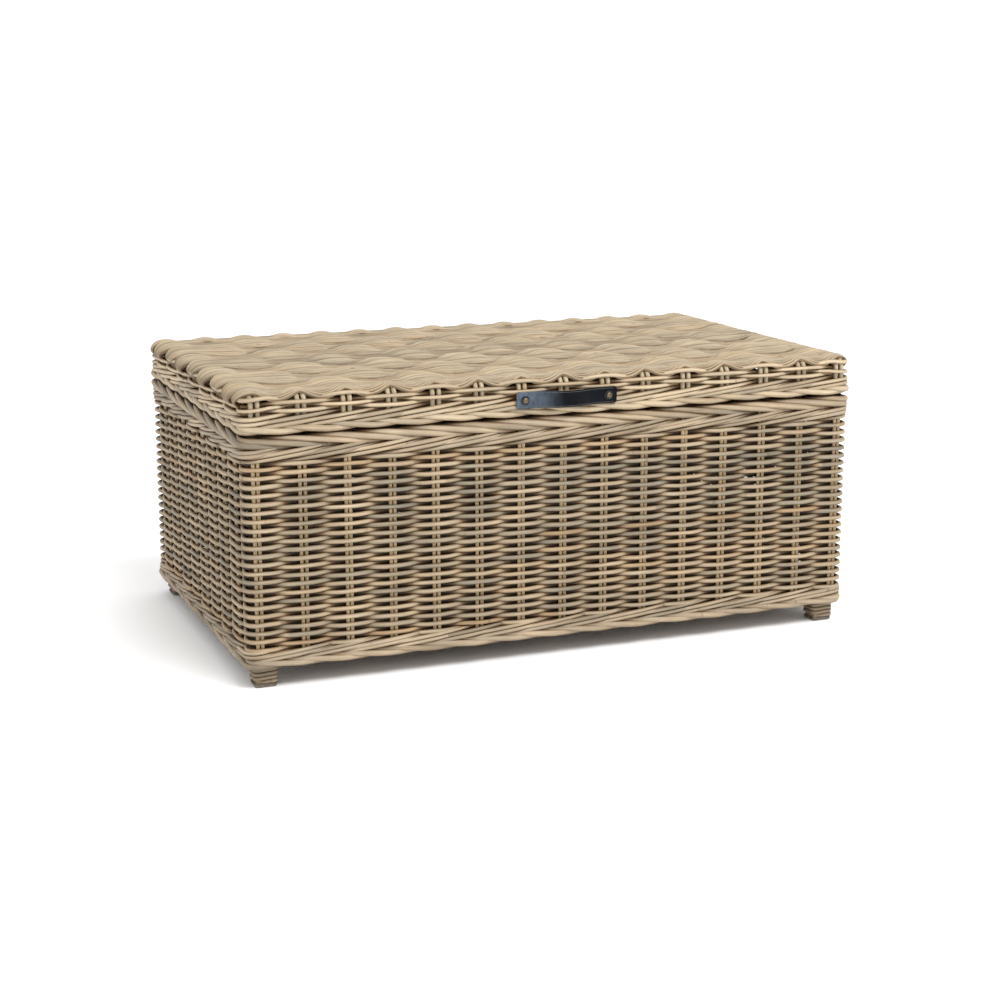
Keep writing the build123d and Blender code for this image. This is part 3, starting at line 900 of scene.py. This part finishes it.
def add_edge_group(canes, is_back, xs, fade, swell):
    """The strands along one long edge: up and inwards at each stake pair, down and out between."""

    def from_edge(q):
        """Turn q round for the back edge."""
        return profile.q[-1] - q if is_back else q

    over = np.maximum(between_pairs(xs, alternating(-1)), 0) * fade
    give = np.minimum(swell, EDGE_GIVE) * np.maximum(between_pairs(xs, alternating(1)), 0)
    between = np.abs(np.sin(math.pi * (xs - front_xs[0]) / stake_pitch))
    beat = 1 - 2 * between**2
    arch = ARCH_SWING * (1 - 2 * np.sqrt(between**2 + 0.01))
    group_y, _ = profile.at(from_edge(top_start + EDGE_WIDTH), 0)
    for strand in range(EDGE_STRANDS):
        share = (strand + 0.5) / EDGE_STRANDS
        spread = (0.35 * swell * over - give) * share**2
        q = top_start + EDGE_WIDTH * share + spread + arch * (1 - share) + wave(xs, 1.0, 0.3 * MM)
        offset = EDGE_LEVEL + EDGE_BEAT * beat + rng.normal(0, 0.3) * MM - EDGE_LEAN * over * share**2
        add_top_strand(canes, xs, from_edge(q), offset, group_y, True, EDGE_STRAND_RADIUS)
    for strand in range(EDGE_FILLERS):
        q = from_edge(top_start + EDGE_FILLER_STEP * (strand + 1))
        add_filler(canes, xs, np.full(len(xs), q), EDGE_FILLER_LEVEL)


def lid_top():
    """Bundles along the lid, with a narrow group of strands always on top at each long edge."""
    steps = np.arange(TOP_SAMPLES) / TOP_SAMPLES * stake_pitch
    xs = np.concatenate([x + steps for x in front_xs[:-1]] + [front_xs[-1:]])
    fade = between_pairs(xs, [0] + [1] * (FRONT_PAIRS - 2) + [0])
    swell = BUNDLE_SWELL * bundle_width * fade
    halves = (Canes(), Canes())
    for bundle in range(BUNDLE_COUNT):
        add_bundle(halves[bundle > BUNDLE_COUNT // 2], bundle, xs, fade, swell)
    for canes, is_back in zip(halves, (False, True)):
        add_edge_group(canes, is_back, xs, fade, swell)
    for canes, name in zip(halves, ("lid_top_front_half", "lid_top_back_half")):
        piece(name, canes.mesh(name), lid_cane, "lid", ["lid_weave_top"])


def lid_side_rows():
    """The weaving rows round the lid. On its two ends they have their own heights and swing."""
    loop = wall_loop(cane_inset)
    stations = loop.stations(front_xs, spaced(BUNDLE_COUNT, bundle_width, middle_y))
    s = span_places(loop, stations)
    _, normal = loop.at(s)
    # 1 on the lid's two ends, easing to 0 round the corners
    at_end = smoothstep((np.abs(normal[:, 0]) - 0.3) / 0.4)
    at_end = np.mean([np.roll(at_end, step) for step in range(-5, 6)], axis=0)
    on_long = 1 - at_end
    canes = Canes()
    for row, (drop, end_drop) in enumerate(zip(LID_ROW_DROPS, LID_END_ROW_DROPS)):
        wobble = over_and_under(stations, (-1) ** row)
        offset = wobble * (LID_ROW_SWING + (LID_END_ROW_SWING - LID_ROW_SWING) * at_end)
        offset = offset + LID_END_ROW_SHIFT * at_end
        q = profile.flat_start - drop
        angle = np.interp(q, profile.q, profile.out)
        inward = np.interp(q, profile.q, profile.y) - profile.y[0]
        level = np.interp(q, profile.q, profile.z)
        level = level + (profile.height - end_drop - level) * at_end
        z = level + offset * math.sin(angle) * on_long + wave(s, loop.length, 0.4 * MM)
        out = offset * (math.cos(angle) * on_long + at_end) - inward * on_long
        radius = cane_radius(s, loop.length, LID_ROW_RADIUS)
        tint = 0.4 + 0.6 * joined_tints(s, loop.length, 4)
        shade = recess(wobble, -1, 0, darkest=0.45)
        canes.add(loop.path(s, out, z), radius, tint, closed=True, shade=shade)
    piece("lid_side_rows", canes.mesh("rows"), lid_border_cane, "lid", on_walls("lid_weave"))


def lid_stake_pairs():
    """The lid's stakes: thin and sunk under its top, thick where they bend down over its edges."""
    start, end = profile.flat_start, profile.flat_end
    q = np.concatenate([
        np.linspace(0, start, 20),
        np.linspace(start, end, 24)[1:-1],
        np.linspace(end, profile.q[-1], 20),
    ])
    inside = smoothstep(np.minimum(q - start, end - q) / (12 * MM))
    bent = smoothstep(1 - np.minimum(np.abs(q - start), np.abs(q - end)) / (14 * MM))
    radius = LID_STAKE_RADIUS + (LID_STAKE_BEND_RADIUS - LID_STAKE_RADIUS) * bent
    radius = radius + (LID_STAKE_FLAT_RADIUS - radius) * inside
    stakes = Canes()
    for x in front_xs:
        for side in (-1, 1):
            y, z = profile.at(q, rng.normal(0, 0.2 * MM) - LID_STAKE_SINK * inside)
            xs = x + side * LID_STAKE_SPACING / 2 + wave(q, 1.2, 0.4 * MM)
            path = np.column_stack([xs, y, z])
            stakes.add(path, radius, rng.uniform(0.6, 1), up=(1, 0, 0), crevice=0.2)
    piece("lid_stake_pairs", stakes.mesh("stakes"), lid_cane, "lid", ["lid_stakes"])


# ---------------------------------------------------------------- base and feet
def base_rows(middle):
    """The base's rows along the length. The outer ones stop short of the corner posts."""
    radius = BASE_CANE_RADIUS
    depth = base_high.y - base_low.y
    count = int(depth / (2.15 * radius))
    xs = np.concatenate([np.array(front_xs[:-1]) + part / 6 * stake_pitch for part in range(6)])
    xs = np.sort(np.append(xs, front_xs[-1]))
    xs = xs[(xs > base_low.x + POST_CLEARANCE) & (xs < base_high.x - POST_CLEARANCE)]
    short = xs
    xs = np.concatenate([[base_low.x + 4 * MM], xs, [base_high.x - 4 * MM]])
    rows = Canes(sides=6)
    for row in range(count):
        y = base_low.y + (row + 0.5) / count * depth
        near_post = min(y - base_low.y, base_high.y - y) < POST_CLEARANCE
        span = short if near_post else xs
        z = middle + between_pairs(span, alternating((-1) ** row)) * (radius - 0.2 * MM)
        path = np.column_stack([span, np.full(len(span), y) + wave(span, 1.0, 0.3 * MM), z])
        rows.add(path, radius, rng.random(), up=(0, 1, 0))
    piece("base_rows", rows.mesh("base"), base_cane, "body", ["base_weave"])


def base_cross_canes(middle):
    """The base's pairs of canes from front to back."""
    cross = Canes(sides=6)
    ys = np.linspace(base_low.y + 3 * MM, base_high.y - 3 * MM, 12)
    for x in front_xs[1:-1]:
        for side in (-1, 1):
            xs = np.full(len(ys), x + side * STAKE_SPACING / 2)
            path = np.column_stack([xs, ys, np.full(len(ys), middle)])
            cross.add(path, STAKE_RADIUS, rng.random())
    piece("base_cross_canes", cross.mesh("cross"), base_cane, "body")


def base():
    middle = (base_low.z + base_high.z) / 2
    base_rows(middle)
    base_cross_canes(middle)


def feet():
    """Cane wound round the bottom of each post, from the pad up to the bottom border."""
    radius = FOOT_CANE_RADIUS
    for end in ("front_left", "front_right", "back_left", "back_right"):
        low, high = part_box(f"foot_wrap_{end}")
        centre = ((low.x + high.x) / 2, (low.y + high.y) / 2)
        half = (high.x - low.x) / 2 - radius
        loop = Loop(half, half, centre, FOOT_CORNER)
        turns = (high.z + BOTTOM_BORDER_LIFT - low.z) / (2 * radius) + 0.4
        s = np.linspace(0, turns * loop.length, int(turns * 40))
        rise = 2 * radius * 0.97
        z = low.z + radius * 0.9 + s / loop.length * rise
        # The cane's two ends are tucked in against the post
        ends = smoothstep(s / (14 * MM)) * smoothstep((s[-1] - s) / (14 * MM))
        canes = Canes()
        canes.add(loop.path(s, (ends - 1) * radius * 1.5, z), radius, rng.uniform(0, 0.4), shade=0.85)
        piece(f"foot_cane_{end}", canes.mesh("wrap"), body_cane, "body", [f"foot_wrap_{end}"])


# ---------------------------------------------------------------- handle
strap_half = (strap_high.x - strap_low.x) / 2
strap_half_width = (strap_high.z - strap_low.z) / 2
strap_middle = (strap_low.z + strap_high.z) / 2
strap_bow = strap_high.y - strap_low.y - STRAP_THICKNESS


def strap_out(xs):
    """How far the strap's inner face stands off the lid at each x: a rise in two equal arcs."""
    half = STRAP_BOW_HALF
    bend = (half**2 + strap_bow**2) / (4 * strap_bow)
    near = np.abs(xs)
    low = bend - np.sqrt(np.maximum(bend**2 - np.maximum(half - near, 0) ** 2, 0))
    high = strap_bow - bend + np.sqrt(np.maximum(bend**2 - np.minimum(near, half / 2) ** 2, 0))
    return np.where(near > half / 2, low, high)


def strap_section():
    """A slab with eased corners: for each point its side across the width, its side through the
    thickness, and the cosine and sine of its turn round the corner."""
    section = []
    for index, (across, through) in enumerate([(1, 1), (-1, 1), (-1, -1), (1, -1)]):
        for angle in np.linspace(0, math.pi / 2, 4) + index * math.pi / 2:
            section.append((across, through, math.cos(angle), math.sin(angle)))
    return section


def strap_mesh():
    """The section swept along the bow, narrowed at the strap's two ends to round their corners."""
    xs = (strap_half - 0.05 * MM) * np.sin(np.linspace(-math.pi / 2, math.pi / 2, 121))
    out = strap_out(xs)
    slopes = np.gradient(out, xs)
    into_corner = np.maximum(STRAP_CORNER - (strap_half - np.abs(xs)), 0)
    half_widths = strap_half_width - STRAP_CORNER + np.sqrt(STRAP_CORNER**2 - into_corner**2)
    section = strap_section()
    points = []
    for x, face, slope, half_width in zip(xs, out, slopes, half_widths):
        length = math.sqrt(1 + slope**2)
        centre = face + STRAP_THICKNESS / 2
        for across, through, cosine, sine in section:
            z = across * (half_width - STRAP_EASE) + cosine * STRAP_EASE
            depth = through * (STRAP_THICKNESS / 2 - STRAP_EASE) + sine * STRAP_EASE
            y = strap_high.y - centre - depth / length
            points.append((x - slope / length * depth, y, strap_middle + z))
    size = len(section)
    last_ring = len(points) - size
    faces = []
    for ring in range(0, last_ring, size):
        for index in range(size):
            here = ring + index
            following = ring + (index + 1) % size
            faces.append((here, following, following + size, here + size))
    faces.append(tuple(range(size))[::-1])
    faces.append(tuple(range(last_ring, len(points))))
    mesh = bpy.data.meshes.new("strap")
    mesh.from_pydata(points, [], faces)
    mesh.polygons.foreach_set("use_smooth", np.ones(len(faces), bool))
    mesh.validate()
    return mesh


def stitching_mesh():
    """Stitches along the strap's two edges, each sunk into the leather at its ends."""
    stitches = Canes(sides=6)
    count = int((2 * strap_half - 8 * MM) / STITCH_PITCH)
    t = np.linspace(-0.5, 0.5, 7)
    lift = 0.25 * MM - 1.1 * MM * (2 * np.abs(t)) ** 3
    for x in spaced(count, STITCH_PITCH):
        xs = x + t * STITCH_LENGTH
        y = strap_high.y - strap_out(xs) - STRAP_THICKNESS - lift
        for side in (-1, 1):
            z = np.full(len(t), strap_middle + side * (strap_half_width - STITCH_INSET))
            stitches.add(np.column_stack([xs, y, z]), THREAD_RADIUS, 0.5)
    return stitches.mesh("stitches")


def handle():
    piece("handle_leather", strap_mesh(), leather, "lid", ["handle_strap"])
    piece("handle_stitching", stitching_mesh(), thread, "lid")


# ---------------------------------------------------------------- pieces kept from the CAD
def dress(prefixes, material):
    """Give CAD nodes whose shape is right a better material."""
    for name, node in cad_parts.items():
        if name.startswith(prefixes):
            node.data.materials.clear()
            node.data.materials.append(material)


def fittings():
    dress(("corner_post", "base_rail", "top_rail", "base_bearers", "lid_rail", "lid_bearers"), frame_wood)
    dress(("handle_washers",), washer_metal)
    dress(("handle_screws",), antique_brass)
    dress(("hinge_",), hinge_steel)
    dress(("foot_glides",), foot_pad)


# ---------------------------------------------------------------- stage
def pale_floor():
    """A wide pale floor under the trunk."""
    nodes = Nodes("floor")
    tone = nodes.noise(nodes.place(), 3, 2)
    nodes.feed("Base Color", nodes.ramp(tone, [(0.3, (0.93, 0.93, 0.93)), (0.7, (0.95, 0.95, 0.95))]))
    nodes.feed("Roughness", 0.8)
    mesh = bpy.data.meshes.new("floor")
    reach = 40.0
    corners = [(-reach, -reach, 0), (reach, -reach, 0), (reach, reach, 0), (-reach, reach, 0)]
    mesh.from_pydata(corners, [], [(0, 1, 2, 3)])
    mesh.materials.append(nodes.material)
    floor = bpy.data.objects.new("floor", mesh)
    bpy.context.collection.objects.link(floor)


def key_light():
    """One broad soft light above the front, turned to the trunk's middle."""
    data = bpy.data.lights.new("key", "AREA")
    data.shape = "RECTANGLE"
    data.size = 3.3
    data.size_y = 2.3
    data.energy = 290
    lamp = bpy.data.objects.new("key", data)
    bpy.context.collection.objects.link(lamp)
    place = np.array((1.1, -3.4, 5.2))
    lamp.location = place
    aim = np.array((0, 0, 0.25)) - place
    lamp.rotation_euler = Vector(aim).to_track_quat("-Z", "Y").to_euler()


def studio():
    """A white room, a pale floor and one light, shown without a film look."""
    scene = bpy.context.scene
    world = bpy.data.worlds.new("studio")
    world.use_nodes = True
    background = world.node_tree.nodes["Background"]
    background.inputs["Color"].default_value = (1, 1, 1, 1)
    background.inputs["Strength"].default_value = 1.12
    scene.world = world
    scene.view_settings.view_transform = "Standard"
    pale_floor()
    key_light()


def camera():
    """The camera's place and direction. Angles are in degrees from +Y and below level."""
    data = bpy.data.cameras.new("camera")
    data.sensor_width = 36
    data.lens = 69.4
    view = bpy.data.objects.new("camera", data)
    bpy.context.collection.objects.link(view)
    view.location = (-1.155, -2.901, 0.883)
    turn, drop = math.radians(21.98), math.radians(12.68)
    view.rotation_euler = (math.pi / 2 - drop, 0, -turn)
    bpy.context.scene.camera = view


camera()
body_walls()
borders()
lid_top()
lid_side_rows()
lid_stake_pairs()
base()
feet()
handle()
fittings()
studio()
